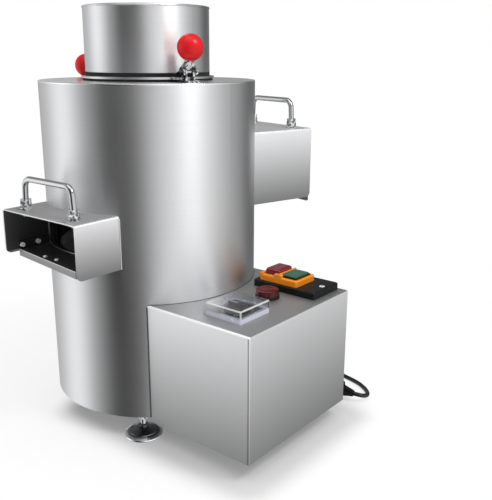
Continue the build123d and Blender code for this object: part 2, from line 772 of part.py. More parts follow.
def control_box_pieces():
    body = slab((0, box_reach), (-box_half_depth, box_half_depth), (box_clearance, box_top))
    outer_edges = [e for e in body.edges()
                   if e.center().X > box_reach / 4 and e.center().Z > box_clearance + box_bend_radius]
    body = fillet(outer_edges, box_bend_radius)
    inside = slab((-overrun, box_reach - sheet), (sheet - box_half_depth, box_half_depth - sheet),
                  (box_clearance + sheet, box_top - sheet))
    body -= inside
    hatch = slab((-overrun, box_reach - box_return),
                 (box_return - box_half_depth, box_half_depth - box_return),
                 (box_clearance - overrun, box_clearance + overrun))
    body -= hatch
    body -= disc(drum_radius + weld_gap, box_clearance - overrun, box_top + overrun)
    timer_hole = timer_body_size / 2 + seat_gap
    body -= slab((timer_x - timer_hole, timer_x + timer_hole), (timer_y - timer_hole, timer_y + timer_hole),
                 (box_top - overrun, box_top + overrun))
    body -= Pos(lamp_x, lamp_y, 0) * disc(lamp_body_radius + seat_gap, box_top - overrun, box_top + overrun)
    body -= contact_hole(box_top - overrun, box_top + overrun)
    gland_hole = Rot(-90, 0, 0) * disc(gland_thread_radius + running_gap, box_half_depth - overrun,
                                       box_half_depth + overrun)
    body -= Pos(gland_x, 0, gland_z) * gland_hole
    floor_low = box_clearance + sheet
    screw_places = [Pos(x, side * (box_half_depth - box_return / 2), 0)
                    for x in (box_reach - box_return, drum_radius) for side in (-1, 1)]
    for place in screw_places:
        body -= place * disc(box_screw_radius + running_gap, box_clearance - overrun, box_clearance + overrun)
    add("control_box", body)

    limit = box_half_depth - sheet - seat_gap
    floor_plate = slab((0, box_reach - sheet - seat_gap), (-limit, limit), (floor_low, floor_low + sheet))
    floor_plate -= disc(drum_radius + weld_gap, box_clearance - overrun, box_top + overrun)
    for place in screw_places:
        floor_plate -= place * disc(box_screw_radius + running_gap, box_clearance - overrun,
                                    box_clearance + overrun)
    add("control_box_floor", floor_plate)
    screw = disc(box_screw_head_radius, box_clearance - box_screw_head_height, box_clearance)
    screw += disc(box_screw_radius, box_clearance, floor_low + 2 * sheet)
    add("box_screws", *[place * screw for place in screw_places])
    add("capacitor", Pos(capacitor_x, capacitor_y, 0) * disc(capacitor_radius, floor_low + sheet,
                                                             floor_low + sheet + capacitor_height))


def contact_hole(low, high):
    """The cut-out that the contact block passes through."""
    half_length = contact_length / 2 + seat_gap
    half_width = contact_width / 2 + seat_gap
    return slab((housing_x - half_length, housing_x + half_length),
                (housing_y - half_width, housing_y + half_width), (low, high))


def square_ring(size, wall, low, high):
    half = size / 2
    outer = slab((-half, half), (-half, half), (low, high))
    upright = outer.edges().filter_by(Axis.Z)
    inner = half - wall
    return fillet(upright, wall / 2) - slab((-inner, inner), (-inner, inner), (low - overrun, high + overrun))


def timer_pieces():
    place = Pos(timer_x, timer_y, box_top)
    half = timer_size / 2
    frame = square_ring(timer_size, timer_frame_wall, 0, timer_frame_height)
    lid_low = timer_frame_height + timer_lid_gap
    hinge = Pos(-half - hinge_offset, 0, lid_low)
    rod_half = half - timer_frame_wall
    rod = Rot(-90, 0, 0) * disc(hinge_rod_radius, -rod_half, rod_half)
    lugs = None
    for side in (-1, 1):
        span = sorted((side * rod_half, side * (rod_half - hinge_lug_length)))
        lug = Rot(-90, 0, 0) * disc(hinge_knuckle_radius, span[0], span[1])
        lug += slab((-hinge_knuckle_radius, hinge_offset + timer_frame_wall / 2), span,
                    (-timer_frame_height / 2 - timer_lid_gap, -timer_lid_gap))
        lugs = lug if lugs is None else lugs + lug
    frame += hinge * (rod + lugs)
    add("timer_frame", place * frame)

    lid = slab((-half, half), (-half, half), (lid_low, lid_low + timer_lid_height))
    lid = fillet(lid.edges().filter_by(Axis.Z) + lid.faces().sort_by(Axis.Z)[-1].edges(), timer_lid_wall)
    inner = half - timer_lid_wall
    lid_roof = lid_low + timer_lid_height - timer_lid_wall
    lid -= slab((-inner, inner), (-inner, inner), (lid_low - overrun, lid_roof))
    knuckle_bore = hinge_rod_radius + 2 * running_gap
    knuckle_low = rod_half - hinge_lug_length - timer_lid_gap - lid_knuckle_length
    for side in (-1, 1):
        span = sorted((side * knuckle_low, side * (knuckle_low + lid_knuckle_length)))
        barrel = Rot(-90, 0, 0) * disc(hinge_knuckle_radius, span[0], span[1])
        web = slab((0, hinge_offset + timer_lid_wall / 2), span, (timer_lid_gap, hinge_knuckle_radius))
        lid += hinge * (barrel + web)
    lid -= hinge * Rot(-90, 0, 0) * disc(knuckle_bore, -half, half)
    add("timer_lid", place * lid)

    body_half = timer_body_size / 2
    face_half = half - timer_frame_wall - seat_gap
    body = slab((-body_half, body_half), (-body_half, body_half), (-timer_body_depth, 0))
    body += slab((-face_half, face_half), (-face_half, face_half), (0, timer_face_height))
    body -= disc(timer_post_radius + running_gap, timer_face_height - timer_post_length - running_gap,
                 timer_face_height + overrun)
    add("timer_body", place * body)

    knob_low = timer_face_height + timer_lid_gap
    knob = disc(timer_knob_radius, knob_low, knob_low + timer_knob_disc)
    grip = slab((-timer_knob_radius + timer_knob_disc, timer_knob_radius - timer_knob_disc),
                (-timer_grip_width / 2, timer_grip_width / 2),
                (knob_low, knob_low + timer_knob_disc + timer_grip_height))
    grip = fillet(grip.edges().filter_by(Axis.Z), timer_grip_width / 3)
    knob += grip
    knob += disc(timer_post_radius, knob_low - timer_post_length + timer_lid_gap, knob_low)
    add("timer_knob", place * knob)


def lamp_pieces():
    place = Pos(lamp_x, lamp_y, box_top)
    housing = turned([(0, -lamp_body_depth), (lamp_body_radius, -lamp_body_depth), (lamp_body_radius, 0),
                      (lamp_ring_radius, 0), (lamp_ring_radius, lamp_ring_height - lamp_ring_chamfer),
                      (lamp_ring_radius - lamp_ring_chamfer, lamp_ring_height),
                      (lamp_lens_radius + seat_gap, lamp_ring_height),
                      (lamp_lens_radius + seat_gap, lamp_ring_height - lamp_recess),
                      (0, lamp_ring_height - lamp_recess)])
    add("lamp_housing", place * housing)
    low = lamp_ring_height - lamp_recess
    high = low + lamp_lens_height
    lens = turned([(0, low), (lamp_lens_radius, low), (lamp_lens_radius, high - lamp_recess),
                   (lamp_lens_radius - sheet, high - lamp_recess / 2),
                   (lamp_lens_radius - 2 * lamp_recess, high), (0, high)])
    add("lamp_lens", place * lens)


def switch_pieces():
    base = Pos(switch_x, switch_y, box_top) * extrude(
        RectangleRounded(switch_length, switch_width, switch_corner_radius), switch_base_height)
    top_edges = base.faces().sort_by(Axis.Z)[-1].edges()
    base = chamfer(top_edges, switch_corner_radius / 2)
    base -= contact_hole(box_top - overrun, box_top + switch_base_height + overrun)
    add("switch_base", base)

    low = box_top + switch_base_height
    high = low + housing_height
    housing = Pos(housing_x, housing_y, low) * extrude(
        RectangleRounded(housing_length, housing_width, housing_corner_radius), housing_height)
    top_edges = housing.faces().sort_by(Axis.Z)[-1].edges()
    housing = fillet(top_edges, sheet)
    buttons = (("stop_button", stop_x, stop_length, stop_rise, stop_dome_radius),
               ("start_button", start_x, start_length, start_rise, start_crown))
    for name, x, length, rise, crown in buttons:
        centre = Pos(x, housing_y, 0)
        pocket = Pos(0, 0, low + housing_floor) * extrude(
            RectangleRounded(length + 2 * button_gap, button_width + 2 * button_gap, button_corner_radius),
            housing_height)
        housing -= centre * pocket
        housing -= centre * disc(stem_radius + running_gap, low - overrun, high)
        button_low = low + housing_floor + button_travel + button_gap
        button = Pos(0, 0, button_low) * extrude(
            RectangleRounded(length, button_width, button_corner_radius), high + rise - button_low)
        button = fillet(button.faces().sort_by(Axis.Z)[-1].edges(), crown * 4 / 5)
        block_top = low - 2 * sheet - button_travel
        button += disc(stem_radius, block_top + button_travel + contact_gap, button_low)
        add(name, centre * button)
    add("switch_housing", housing)

    half_length = contact_length / 2
    half_width = contact_width / 2
    add("contact_block", slab((housing_x - half_length, housing_x + half_length),
                              (housing_y - half_width, housing_y + half_width),
                              (box_top - contact_depth, low - 2 * sheet - button_travel)))


def foot_pieces():
    places = [Rot(0, 0, angle) * Pos(foot_circle_radius, 0, 0) for angle in foot_angles]
    bore = stem_thread_radius + running_gap
    pad = turned([(0, 0), (foot_radius - sheet, 0), (foot_radius, sheet), (foot_radius, foot_rim_height),
                  (foot_step_radius, foot_step_height), (foot_step_radius, foot_step_height + sheet),
                  (foot_dome_radius, foot_dome_height), (foot_collar_radius, foot_dome_height),
                  (foot_collar_radius, foot_collar_height), (bore, foot_collar_height),
                  (bore, foot_socket_floor), (0, foot_socket_floor)])
    add("foot_pads", *[place * pad for place in places])
    stem = disc(stem_thread_radius, foot_socket_floor, foot_stem_top)
    add("foot_stems", *[place * stem for place in places])
    nuts = []
    for place in places:
        for low in (ground_clearance - foot_nut_height, base_top):
            nuts.append(place * hex_nut(foot_nut_flats, bore, low, low + foot_nut_height))
    add("foot_nuts", *nuts)


def rounded_route(points):
    """Straight runs joined by arcs as large as their runs allow, with the arcs' radii."""
    points = [Vector(*p) for p in points]
    radii = []
    for before, here, after in zip(points, points[1:], points[2:]):
        turn = (here - before).get_angle(after - here)
        shorter = min((here - before).length, (after - here).length)
        radii.append(0.45 * shorter / tan(radians(turn) / 2))
    return FilletPolyline(*points, radius=radii), radii


def tube(path):
    section = Plane(origin=path @ 0, z_dir=path % 0) * Circle(cord_radius)
    return sweep(section, path=path)


def coil_knot(step):
    """Place and heading of the coil's centre line after a number of quarter turns."""
    quarter = pi / 2
    last = 2 * spans_in + spans_climbing
    angle = radians(coil_start_angle) - quarter * step
    radius = coil_outer_radius - coil_pitch / 4 * min(step, spans_in, last - step)
    rate = 0
    if 0 < step < spans_in:
        rate = -coil_pitch / 4 / quarter
    if spans_in + spans_climbing < step < last:
        rate = coil_pitch / 4 / quarter
    climbed = min(max(step - spans_in, 0), spans_climbing) / spans_climbing
    height = cord_rest + coil_layer_rise * climbed
    place = Vector(coil_x + radius * cos(angle), coil_y + radius * sin(angle), height)
    climb = 0
    if spans_in < step < spans_in + spans_climbing:
        climb = coil_layer_rise / (spans_climbing * quarter)
    heading = Vector(rate * cos(angle) + radius * sin(angle), rate * sin(angle) - radius * cos(angle), climb)
    return place, heading.normalized()


def arc_to_corner(start, corner, end):
    """The arc from start to end that leaves and arrives along the lines to their shared corner."""
    chord = (start + end) * (1 / 2)
    turn = (corner - start).get_angle(end - corner)
    sagitta = (end - start).length / 2 * tan(radians(turn) / 4)
    return ThreePointArc(start, chord + (corner - chord).normalized() * sagitta, end)


def biarc(start, heading, end, end_heading):
    """Two tangent arcs between two places with their headings."""
    total = heading + end_heading
    offset = start - end
    square = 4 - total.dot(total)
    along = offset.dot(total)
    reach = (along + sqrt(along ** 2 + square * offset.dot(offset))) / square
    first = start + heading * reach
    second = end - end_heading * reach
    joint = (first + second) * (1 / 2)
    return [arc_to_corner(start, first, joint), arc_to_corner(joint, second, end)]


def coil_path():
    knots = [coil_knot(step) for step in range(2 * spans_in + spans_climbing + 1)]
    straight = 2 * cord_radius
    begin = knots[0][0] - knots[0][1] * straight
    finish = knots[-1][0] + knots[-1][1] * straight
    edges = [Line(begin, knots[0][0])]
    for (place, heading), (next_place, next_heading) in zip(knots, knots[1:]):
        edges += biarc(place, heading, next_place, next_heading)
    edges.append(Line(knots[-1][0], finish))
    return edges, begin, finish, knots[0][1], knots[-1][1]


def least_gap(edges):
    """The nearest that the tube comes to itself, on points along its centre line."""
    samples = []
    walked = 0
    share_steps = 24
    for edge in edges:
        for k in range(share_steps):
            samples.append((walked + edge.length * k / share_steps, edge @ (k / share_steps)))
        walked += edge.length
    far_apart = 12 * cord_radius
    return min((p - q).length for s, p in samples for t, q in samples if t - s > far_apart) - 2 * cord_radius


def cord_pieces():
    wall = box_half_depth
    nose = wall + gland_length
    gland = hex_prism(gland_hex_flats, wall, wall + gland_hex_height)
    gland += turned([(0, wall), (gland_thread_radius, wall),
                     (gland_thread_radius, wall + 2 * gland_hex_height),
                     (gland_nose_radius, nose), (0, nose)])
    inside = wall - sheet
    gland += disc(gland_thread_radius, inside - gland_nut_height, wall)
    gland -= disc(gland_bore_radius, inside - overrun, nose + overrun)
    nut = hex_nut(gland_hex_flats, gland_thread_radius + running_gap, inside - gland_nut_height, inside)
    turn = Pos(gland_x, 0, gland_z) * Rot(-90, 0, 0)
    add("cable_gland", turn * gland, turn * nut)

    edges, coil_begin, coil_finish, first_heading, last_heading = coil_path()
    add("cord_coil", tube(Wire(edges)))
    lead_route = [(gland_x, nose, gland_z)] + lead_points
    lead_route += [tuple(coil_begin - first_heading * lead_last_run), tuple(coil_begin)]
    lead, lead_radii = rounded_route(lead_route)
    add("cord_lead", tube(lead))
    plug_axis = plug_height / 2
    tail_route = [tuple(coil_finish), tuple(coil_finish + last_heading * lead_last_run)]
    tail_route += tail_points + [(plug_tip_x, plug_y, plug_axis)]
    tail, tail_radii = rounded_route(tail_route)
    add("cord_tail", tube(tail))
    section = pi * cord_radius ** 2
    coil_length = sum(edge.length for edge in edges)
    for name, length in (("cord_lead", lead.length), ("cord_coil", coil_length), ("cord_tail", tail.length)):
        volume = sum(solid.volume for solid in pieces[name])
        print(name, "length", round(length, 1), "volume over section times length",
              round(volume / section / length, 4))
    print("cord length", round(lead.length + coil_length + tail.length, 1))
    print("lead radii", [round(r, 1) for r in lead_radii])
    print("tail radii", [round(r, 1) for r in tail_radii])
    print("least gap in the coil", round(least_gap(edges), 2))

    back = plug_tip_x - plug_taper_length
    face = back - plug_length
    body = Pos(back, plug_y, plug_axis) * Rot(0, -90, 0) * extrude(
        RectangleRounded(plug_height, plug_width, plug_corner_radius), plug_length)
    rim = [e for e in body.edges() if e.center().X > back - weld_gap or e.center().X < face + weld_gap]
    body = chamfer(rim, sheet)
    taper = turned([(0, 0), (plug_taper_radius, 0), (plug_nose_radius, plug_taper_length),
                    (0, plug_taper_length)])
    body += Pos(back, plug_y, plug_axis) * Rot(0, 90, 0) * taper
    add("plug_body", body)
    pins = []
    for side in (-1, 1):
        y = plug_y + side * blade_spacing / 2
        z = plug_axis + blade_rise
        pins.append(slab((face - blade_length, face), (y - blade_thickness / 2, y + blade_thickness / 2),
                         (z - blade_width / 2, z + blade_width / 2)))
    earth = Pos(face, plug_y, plug_axis - earth_pin_drop) * Rot(0, -90, 0)
    pins.append(earth * extrude(Circle(earth_pin_radius), earth_pin_length))
    add("plug_pins", *pins)


drum_pieces()
chute_pieces()
handle_pieces()
hopper_pieces()
clamp_pieces()
chamber_pieces()
motor_pieces()
control_box_pieces()
timer_pieces()
lamp_pieces()
switch_pieces()
foot_pieces()
cord_pieces()

os.makedirs("parts", exist_ok=True)
for name, solids in pieces.items():
    moved = [Pos(-centre_x, -centre_y, 0) * solid for solid in solids]
    shape = moved[0] if len(moved) == 1 else Compound(children=moved)
    export_step(shape, f"parts/{name}.step")
print("nodes", len(pieces), "drum axis at", round(-centre_x, 3), round(-centre_y, 3))
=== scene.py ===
# Chestnut peeling machine: its finishes, its small fittings, its mains lead and the studio round it.
import math

import bmesh
import bpy
from mathutils import Matrix, Vector


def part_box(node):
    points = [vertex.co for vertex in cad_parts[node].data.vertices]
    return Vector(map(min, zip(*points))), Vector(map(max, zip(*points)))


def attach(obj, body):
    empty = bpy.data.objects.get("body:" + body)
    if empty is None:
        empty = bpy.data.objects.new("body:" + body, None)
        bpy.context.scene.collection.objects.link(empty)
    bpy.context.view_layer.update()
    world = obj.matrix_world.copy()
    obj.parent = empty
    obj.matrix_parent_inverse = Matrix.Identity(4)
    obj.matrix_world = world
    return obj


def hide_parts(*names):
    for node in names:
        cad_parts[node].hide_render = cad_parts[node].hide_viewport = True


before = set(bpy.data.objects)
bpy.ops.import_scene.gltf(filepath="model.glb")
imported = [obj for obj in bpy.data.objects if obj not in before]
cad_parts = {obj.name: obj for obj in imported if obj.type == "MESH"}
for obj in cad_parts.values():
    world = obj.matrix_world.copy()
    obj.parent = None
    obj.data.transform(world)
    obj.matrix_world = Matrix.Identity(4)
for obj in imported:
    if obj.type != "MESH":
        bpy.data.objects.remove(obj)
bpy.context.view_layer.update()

mm = 0.001


def corners(node):
    """A node's lowest and highest corners, in metres."""
    low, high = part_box(node)
    return Vector(low), Vector(high)


def middle(node):
    """The centre of a node's box, in metres."""
    low, high = corners(node)
    return (low + high) / 2


axis = middle("drum_shell")
axis.z = 0
home = Matrix.Translation(axis)


def here(x, y, z=0.0):
    """A place in millimetres from the drum's axis and the floor."""
    return axis + Vector((x, y, z)) * mm


def spans(node):
    """A node's limits along X, Y and Z, in millimetres from the drum's axis and the floor."""
    low, high = corners(node)
    return [((a - c) / mm, (b - c) / mm) for a, b, c in zip(low, high, axis)]


def shifted(place, turn=0.0, about="Z"):
    """A place, turned by an angle in degrees about one of its axes."""
    return Matrix.Translation(place) @ Matrix.Rotation(math.radians(turn), 4, about)


# Finishes

class Signal:
    """One output in a finish. Arithmetic on it adds Math nodes."""

    def __init__(self, finish, output):
        self.finish = finish
        self.output = output

    def math(self, operation, *others):
        return self.finish.node("Math", {"operation": operation}, dict(enumerate((self,) + others)))

    def __add__(self, other):
        return self.math("ADD", other)

    def __sub__(self, other):
        return self.math("SUBTRACT", other)

    def __mul__(self, other):
        return self.math("MULTIPLY", other)

    def __truediv__(self, other):
        return self.math("DIVIDE", other)

    def __rsub__(self, other):
        return self.finish.node("Math", {"operation": "SUBTRACT"}, {0: other, 1: self})

    __radd__ = __add__
    __rmul__ = __mul__

    def between(self, low, high):
        """Rises smoothly from 0 at low to 1 at high."""
        values = {"Value": self, "From Min": low, "From Max": high}
        return self.finish.node("MapRange", {"interpolation_type": "SMOOTHSTEP"}, values)


class Finish:
    """The nodes of a material or of the world."""

    def __init__(self, owner):
        self.owner = owner
        owner.use_nodes = True
        self.tree = owner.node_tree
        self.tree.nodes.clear()

    def node(self, kind, settings=None, values=None, out=0):
        """Any node: its kind, its settings, its sockets' values or links, and the output that is used."""
        made = self.tree.nodes.new("ShaderNode" + kind)
        for key, value in (settings or {}).items():
            if key == "stops":
                self.set_stops(made.color_ramp, value)
            else:
                setattr(made, key, value)
        for key, value in (values or {}).items():
            if isinstance(value, Signal):
                self.tree.links.new(value.output, made.inputs[key])
            else:
                made.inputs[key].default_value = value
        return Signal(self, made.outputs[out]) if made.outputs else None

    def set_stops(self, ramp, stops):
        """Gives a ramp its places and its grey levels."""
        ramp.interpolation = "EASE"
        first, last = ramp.elements
        first.position, last.position = stops[0][0], stops[-1][0]
        first.color, last.color = grey(stops[0][1]), grey(stops[-1][1])
        for place, level in stops[1:-1]:
            ramp.elements.new(place).color = grey(level)

    def position(self):
        """The place on the piece, in metres."""
        return self.node("TexCoord", out=3)

    def normal(self):
        return self.node("NewGeometry", out=1)

    def vector_math(self, operation, *values, out=0):
        """A Vector Math node, whose second output is a length or a dot product."""
        return self.node("VectorMath", {"operation": operation}, dict(enumerate(values)), out)

    def offset(self, place):
        """The place on the piece, measured from another place."""
        return self.vector_math("SUBTRACT", self.position(), place)

    def along(self, part, vector=None):
        """The X, Y or Z part of a vector, by default of the place on the piece."""
        return self.node("SeparateXYZ", values={0: vector or self.position()}, out="XYZ".index(part))

    def noise(self, scale, detail, stretch=None, place=None):
        """Soft noise. A stretch is how much finer it gets along X, Y and Z."""
        place = place or self.position()
        if stretch:
            place = self.vector_math("MULTIPLY", place, stretch)
        return self.node("TexNoise", values={"Vector": place, "Scale": scale, "Detail": detail})

    def facing_up(self):
        """1 where the surface lies flat, 0 where it stands."""
        return self.along("Z", self.normal()).math("ABSOLUTE").between(0.6, 0.8)

    def bend_towards_front(self):
        """1 on bends between a flat top and a front, 0 elsewhere; the mask of a painted highlight."""
        normal = self.normal()
        return (0 - self.along("Y", normal) * self.along("Z", normal)).between(0.05, 0.25)

    def within(self, centre, half, turn):
        """1 inside a box that is turned about Z, 0 outside it."""
        values = {"Vector": self.position(), "Location": centre, "Rotation": (0, 0, math.radians(turn)),
                  "Scale": half}
        place = self.node("Mapping", {"vector_type": "TEXTURE"}, values)
        apart = self.vector_math("ABSOLUTE", place)
        across, along, up = (self.along(part, apart).math("LESS_THAN", 1.0) for part in "XYZ")
        return across * along * up

    def near_edges(self, node, width):
        """1 along the edges of a node's box, 0 on its faces."""
        low, high = corners(node)
        apart = self.vector_math("ABSOLUTE", self.offset(middle(node)))
        limits = (high - low) / 2 - Vector((width, width, width))
        across, along, up = (self.along(part, apart).math("GREATER_THAN", limit)
                             for part, limit in zip("XYZ", limits))
        two_of_three = 1.5
        return (across + along + up).math("GREATER_THAN", two_of_three)

    def from_axis(self):
        """Distance from the drum's axis."""
        flat = self.vector_math("MULTIPLY", self.offset(axis), (1.0, 1.0, 0.0))
        return self.vector_math("LENGTH", flat, out=1)

    def mix(self, share, first, second):
        """Two colours mixed by a share."""
        return self.node("Mix", {"data_type": "RGBA"}, {0: share, 6: first, 7: second}, out=2)

    def bump(self, height, depth, strength):
        """A surface's relief, from a height between 0 and 1 and a depth in metres."""
        return self.node("Bump", values={"Height": height, "Distance": depth, "Strength": strength})

    def principled(self, **values):
        """A Principled shader; a name's underscores stand for spaces."""
        sockets = {name.replace("_", " "): value for name, value in values.items()}
        return self.node("BsdfPrincipled", values=sockets)

    def surface(self, **values):
        """Ends the finish in one Principled shader."""
        self.node("OutputMaterial", values={0: self.principled(**values)})
        return self.owner


def grey(level):
    """A grey for the shader, where 1 is white."""
    return (level, level, level, 1.0)


def colour(red, green, blue):
    """A colour as a screen shows it, from 0 to 255, as the shader wants it."""
    def plain(value):
        value /= 255
        return value / 12.92 if value <= 0.04045 else ((value + 0.055) / 1.055) ** 2.4
    return (plain(red), plain(green), plain(blue), 1.0)


def new_finish(name):
    return Finish(bpy.data.materials.new(name))


def shade(share, tone):
    """A colour times a share."""
    return share.finish.node("VectorMath", {"operation": "SCALE"}, {0: tone[:3], "Scale": share})


def brushed_steel(name, shade_fade=None, rings=False, rough=0.24, tone=(0.745, 0.75, 0.76), spread=0.0,
                  shaded_hollows=()):
    """Satin stainless sheet: fine lines along it, faint smears, painted shade that darkens a panel towards
    its foot, and a painted highlight on its bends towards the front.

    The painted shade down a panel is given as its lowest and highest place, its least share and the painted
    share on flat tops. Each box that the sheet lines, given in a list, is darkened inside as painted shade."""
    fine, long = 1500, 9
    hollow_shade = 0.78
    f = new_finish(name)
    if rings:
        lines = f.noise(1, 3, place=f.from_axis() * fine)
    else:
        on_panels = f.noise(1, 3, (long, long, fine))
        on_tops = f.noise(1, 3, (long, fine, long))
        flat = f.facing_up()
        lines = on_panels * (1 - flat) + on_tops * flat
    smears = f.noise(14, 4)
    level = 0.94 + lines * 0.08 + smears * 0.04
    metal = 1.0
    # Painted shade: the panel darkens towards its foot, and flat tops take a painted level of their own.
    if shade_fade:
        low, high, least, top = shade_fade
        height = (f.along("Z") - low) / (high - low)
        share = least + (1 - least) * height.math("MAXIMUM", 0).math("MINIMUM", 1).math("POWER", 1.1)
        flat = f.facing_up()
        # Painted highlight: bends towards the front are turned white and less metallic.
        bend_highlight = f.bend_towards_front()
        level = level * (share * (1 - flat) + flat * top) * (1 - bend_highlight) + bend_highlight
        metal = 1 - bend_highlight * 0.8
    # Painted shade inside the boxes that the sheet lines.
    for shaded_hollow in shaded_hollows:
        level = level * (1 - hollow_shade * f.within(*shaded_hollow))
    roughness = rough - 0.04 + lines * 0.05 + smears * 0.04
    return f.surface(Base_Color=shade(level, tone), Metallic=metal, Roughness=roughness, Anisotropic=spread,
                     Anisotropic_Rotation=0.25, Normal=f.bump(lines, 0.02 * mm, 0.35))


def plain_steel(name, tone=(0.60, 0.61, 0.63), rough=0.36, metal=1.0):
    """Mill-finish sheet and turned steel: grain without a direction, and slight stains."""
    f = new_finish(name)
    grain = f.noise(900, 2)
    stains = f.noise(30, 5)
    level = 0.88 + grain * 0.08 + stains * 0.12
    return f.surface(Base_Color=shade(level, tone), Metallic=metal,
                     Roughness=rough - 0.08 + stains * 0.12 + grain * 0.04,
                     Normal=f.bump(grain, 0.02 * mm, 0.4))


def chrome(name, waves, level, dark_reflection_share=0.0, metal=1.0, painted_dark_above=None):
    """Bright plating over polished or cast metal, with the waves of the metal under it and dark patches
    painted in as dark reflections.

    Where a height is given, a painted dark reflection covers the plating above it, and the lower edge stays
    bright."""
    f = new_finish(name)
    haze = f.noise(150, 2)
    specks = f.noise(900, 1).between(0.66, 0.74)
    # Painted reflection: dark patches stand in for the black that the plating reflects.
    dark_reflection_patches = f.noise(260, 1).between(0.46, 0.58)
    plating_and_painted_dark = (0.97 + haze * 0.05 - specks * 0.10) * (1 - dark_reflection_patches * dark_reflection_share)
    # Painted reflection: the plating is darker above the given height.
    if painted_dark_above:
        plating_and_painted_dark = plating_and_painted_dark * (1 - 0.8 * f.along("Z").between(painted_dark_above - mm, painted_dark_above + mm))
    return f.surface(Base_Color=shade(plating_and_painted_dark * level, (1.0, 1.01, 1.025)), Metallic=metal,
                     Roughness=0.05 + haze * 0.06 + specks * 0.12,
                     Normal=f.bump(haze, waves * mm, 1.0))


def moulded(name, tone, rough=0.32, grain_depth=0.03, shine=0.0, gleam=0.5):
    """Moulded plastic: a fine spark-eroded grain, slight mottling and handling marks."""
    f = new_finish(name)
    grain = f.noise(1400, 2)
    marks = f.noise(45, 5)
    level = 0.9 + marks * 0.2
    return f.surface(Base_Color=shade(level, tone), Roughness=rough - 0.05 + marks * 0.1,
                     Coat_Weight=shine, Specular_IOR_Level=gleam,
                     Normal=f.bump(grain, grain_depth * mm, 0.5))


def rubber(name, tone, rough):
    """Black rubber with a fine grain and a pale bloom in patches."""
    f = new_finish(name)
    grain = f.noise(700, 3)
    bloom = f.noise(25, 4).between(0.5, 0.8)
    return f.surface(Base_Color=f.mix(bloom * 0.25, tone, grey(0.05)),
                     Roughness=rough + grain * 0.12 + bloom * 0.08, Normal=f.bump(grain, 0.05 * mm, 0.6))


def clear_plastic(name, tone, through, frost=0.0, node=None):
    """Clear moulded cover, faintly scuffed and slightly clouded.

    Where a node is given, its box's edges carry a painted highlight, standing in for the light that the
    edges of clear polystyrene catch, and a painted whitish sheen spreads over the cover towards one corner."""
    highlight_width = 1.6 * mm
    towards_painted_sheen = (-0.78, -0.63, 0.0)
    sheen_start, sheen_end = 4 * mm, 38 * mm
    f = new_finish(name)
    scuffs = f.noise(1, 3, (60, 900, 60)).between(0.55, 0.75)
    shown = f.principled(Base_Color=f.mix(scuffs * 0.5, tone, grey(0.9)),
                         Roughness=0.03 + frost + scuffs * 0.10, Transmission_Weight=through, IOR=1.49)
    if node:
        # Painted highlight on the box's edges and painted sheen towards one corner: an opaque pale shader
        # mixed in.
        lit = f.principled(Base_Color=f.mix(scuffs, grey(0.70), grey(0.85)), Roughness=0.2 + scuffs * 0.2)
        sheen_reach = f.vector_math("DOT_PRODUCT", f.offset(middle(node)), towards_painted_sheen, out=1)
        # Painted sheen, rising towards one corner.
        haze = sheen_reach.between(sheen_start, sheen_end) * 0.65
        share = (f.near_edges(node, highlight_width) * 0.75).math("MAXIMUM", haze)
        shown = f.node("MixShader", values={0: share, 1: shown, 2: lit})
    f.node("OutputMaterial", values={0: shown})
    return f.owner


def lamp_glass():
    """Deep red lens with ribs that spread from its middle."""
    rib_count = 24
    f = new_finish("lamp_glass")
    offset = f.offset(middle("lamp_lens"))
    turn = f.along("Y", offset).math("ARCTAN2", f.along("X", offset))
    ribs = (turn * rib_count).math("SINE")
    deep = f.noise(120, 3)
    level = 0.7 + ribs * 0.25 + deep * 0.3
    return f.surface(Base_Color=shade(level, colour(84, 3, 13)), Roughness=0.08 + deep * 0.06,
                     Coat_Weight=0.3, Specular_IOR_Level=0.35, Normal=f.bump(ribs, 0.25 * mm, 0.6))


def laminated():
    """Motor core: stacked sheets between two lacquered copper windings."""
    sheet_pitch, wire_pitch = 0.7 * mm, 0.9 * mm
    f = new_finish("laminated_steel")
    low, high = corners("motor_rotor")
    height = f.along("Z")
    sheets = (height * 2 * math.pi / sheet_pitch).math("SINE")
    strands = (f.from_axis() * 2 * math.pi / wire_pitch).math("SINE")
    copper = 1 - height.between(low.z, low.z + mm) * (1 - height.between(high.z - mm, high.z))
    tone = f.mix(copper, grey(0.34), colour(196, 106, 52))
    return f.surface(Base_Color=tone, Metallic=0.9, Roughness=0.4 + sheets * 0.06,
                     Normal=f.bump(sheets * (1 - copper) + strands * copper, 0.2 * mm, 0.6))


def painted(name, tone):
    """Stove enamel with orange peel, thin on the edges of dents."""
    f = new_finish(name)
    peel = f.noise(420, 3)
    chips = f.noise(70, 6).between(0.66, 0.70)
    return f.surface(Base_Color=f.mix(chips * 0.6, tone, grey(0.3)), Roughness=0.38 + peel * 0.1,
                     Metallic=chips * 0.8, Normal=f.bump(peel, 0.15 * mm, 0.5))


# Sizes in millimetres that the CAD model has too: the sheet's thickness, a chute's half width, the drum
sheet = 1.5
chute_half = 75.0
drum_radius = 150.0


class Chute:
    """One chute's sizes in millimetres and the way that it points, in degrees."""

    def __init__(self, heading, reach, floor, top):
        self.reach = reach
        self.floor = floor
        self.top = top
        self.turn = heading + 90
        self.frame = shifted(axis, self.turn)


lower_chute = Chute(-90, 200.0, 257.0, 315.0)
upper_chute = Chute(75, 241.0, 298.0, 403.0)


